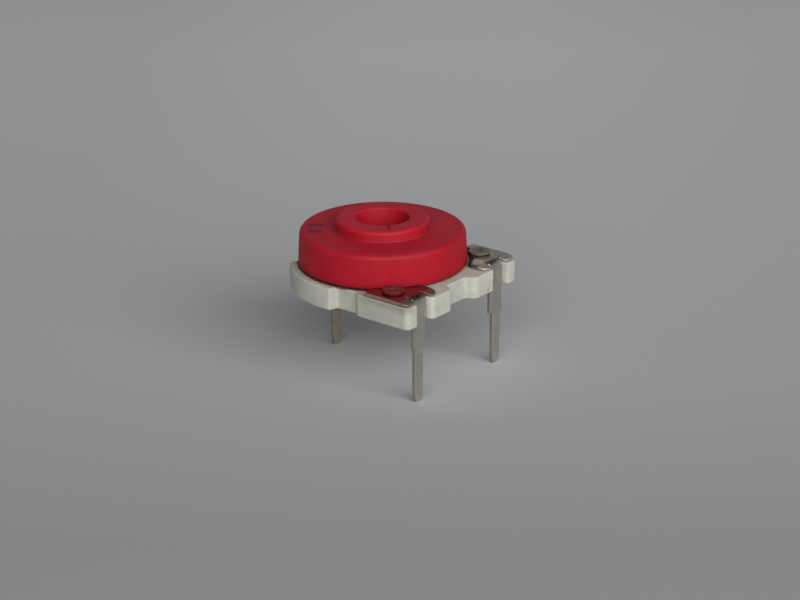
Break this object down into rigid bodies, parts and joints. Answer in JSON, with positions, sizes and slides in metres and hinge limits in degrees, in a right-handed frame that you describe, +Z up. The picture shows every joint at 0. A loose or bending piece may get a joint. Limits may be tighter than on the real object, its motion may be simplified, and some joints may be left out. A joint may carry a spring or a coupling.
{
  "type": "trimmer potentiometer",
  "caption": "Open single-turn trimmer potentiometer: ceramic base plate, round moulded rotor with a central shaft hole, and sheet-metal pins for a circuit board.",
  "frame": {"origin": "on the rotor's axis, in the plane of the pin tips", "axes": "+Z up along the rotor's axis, out of its collar; +X from the axis to the row of the end pins; +Y along that row"},
  "size_m": [0.015, 0.0148, 0.0122],
  "materials": {
    "ceramic": "matt, unglazed",
    "carbon_film": "matt printed carbon",
    "silver_film": "matt printed silver",
    "tinned_brass": "dull tinned",
    "plated_brass": "plated",
    "red_plastic": "satin moulded",
    "bronze": "rolled sheet",
    "carbon": "pressed carbon",
    "spring_steel": "bright"
  },
  "bodies": {
    "base": {"base_plate": "ceramic", "resistive_track": "carbon_film", "cw_pad": "silver_film", "ccw_pad": "silver_film", "cw_terminal": "tinned_brass", "ccw_terminal": "tinned_brass", "cw_rivet": "tinned_brass", "ccw_rivet": "tinned_brass", "wiper_terminal": "tinned_brass", "centre_eyelet": "plated_brass"},
    "rotor": {"rotor": "red_plastic", "wiper_spring": "bronze", "contact_button": "carbon", "retaining_ring": "spring_steel"}
  },
  "joints": [
    {"name": "rotor_turn", "type": "hinge", "parent": "base", "child": "rotor", "pos_m": [0, 0, 0.0085], "axis": [0, 0, 1], "range_deg": [-85, 165]}
  ]
}
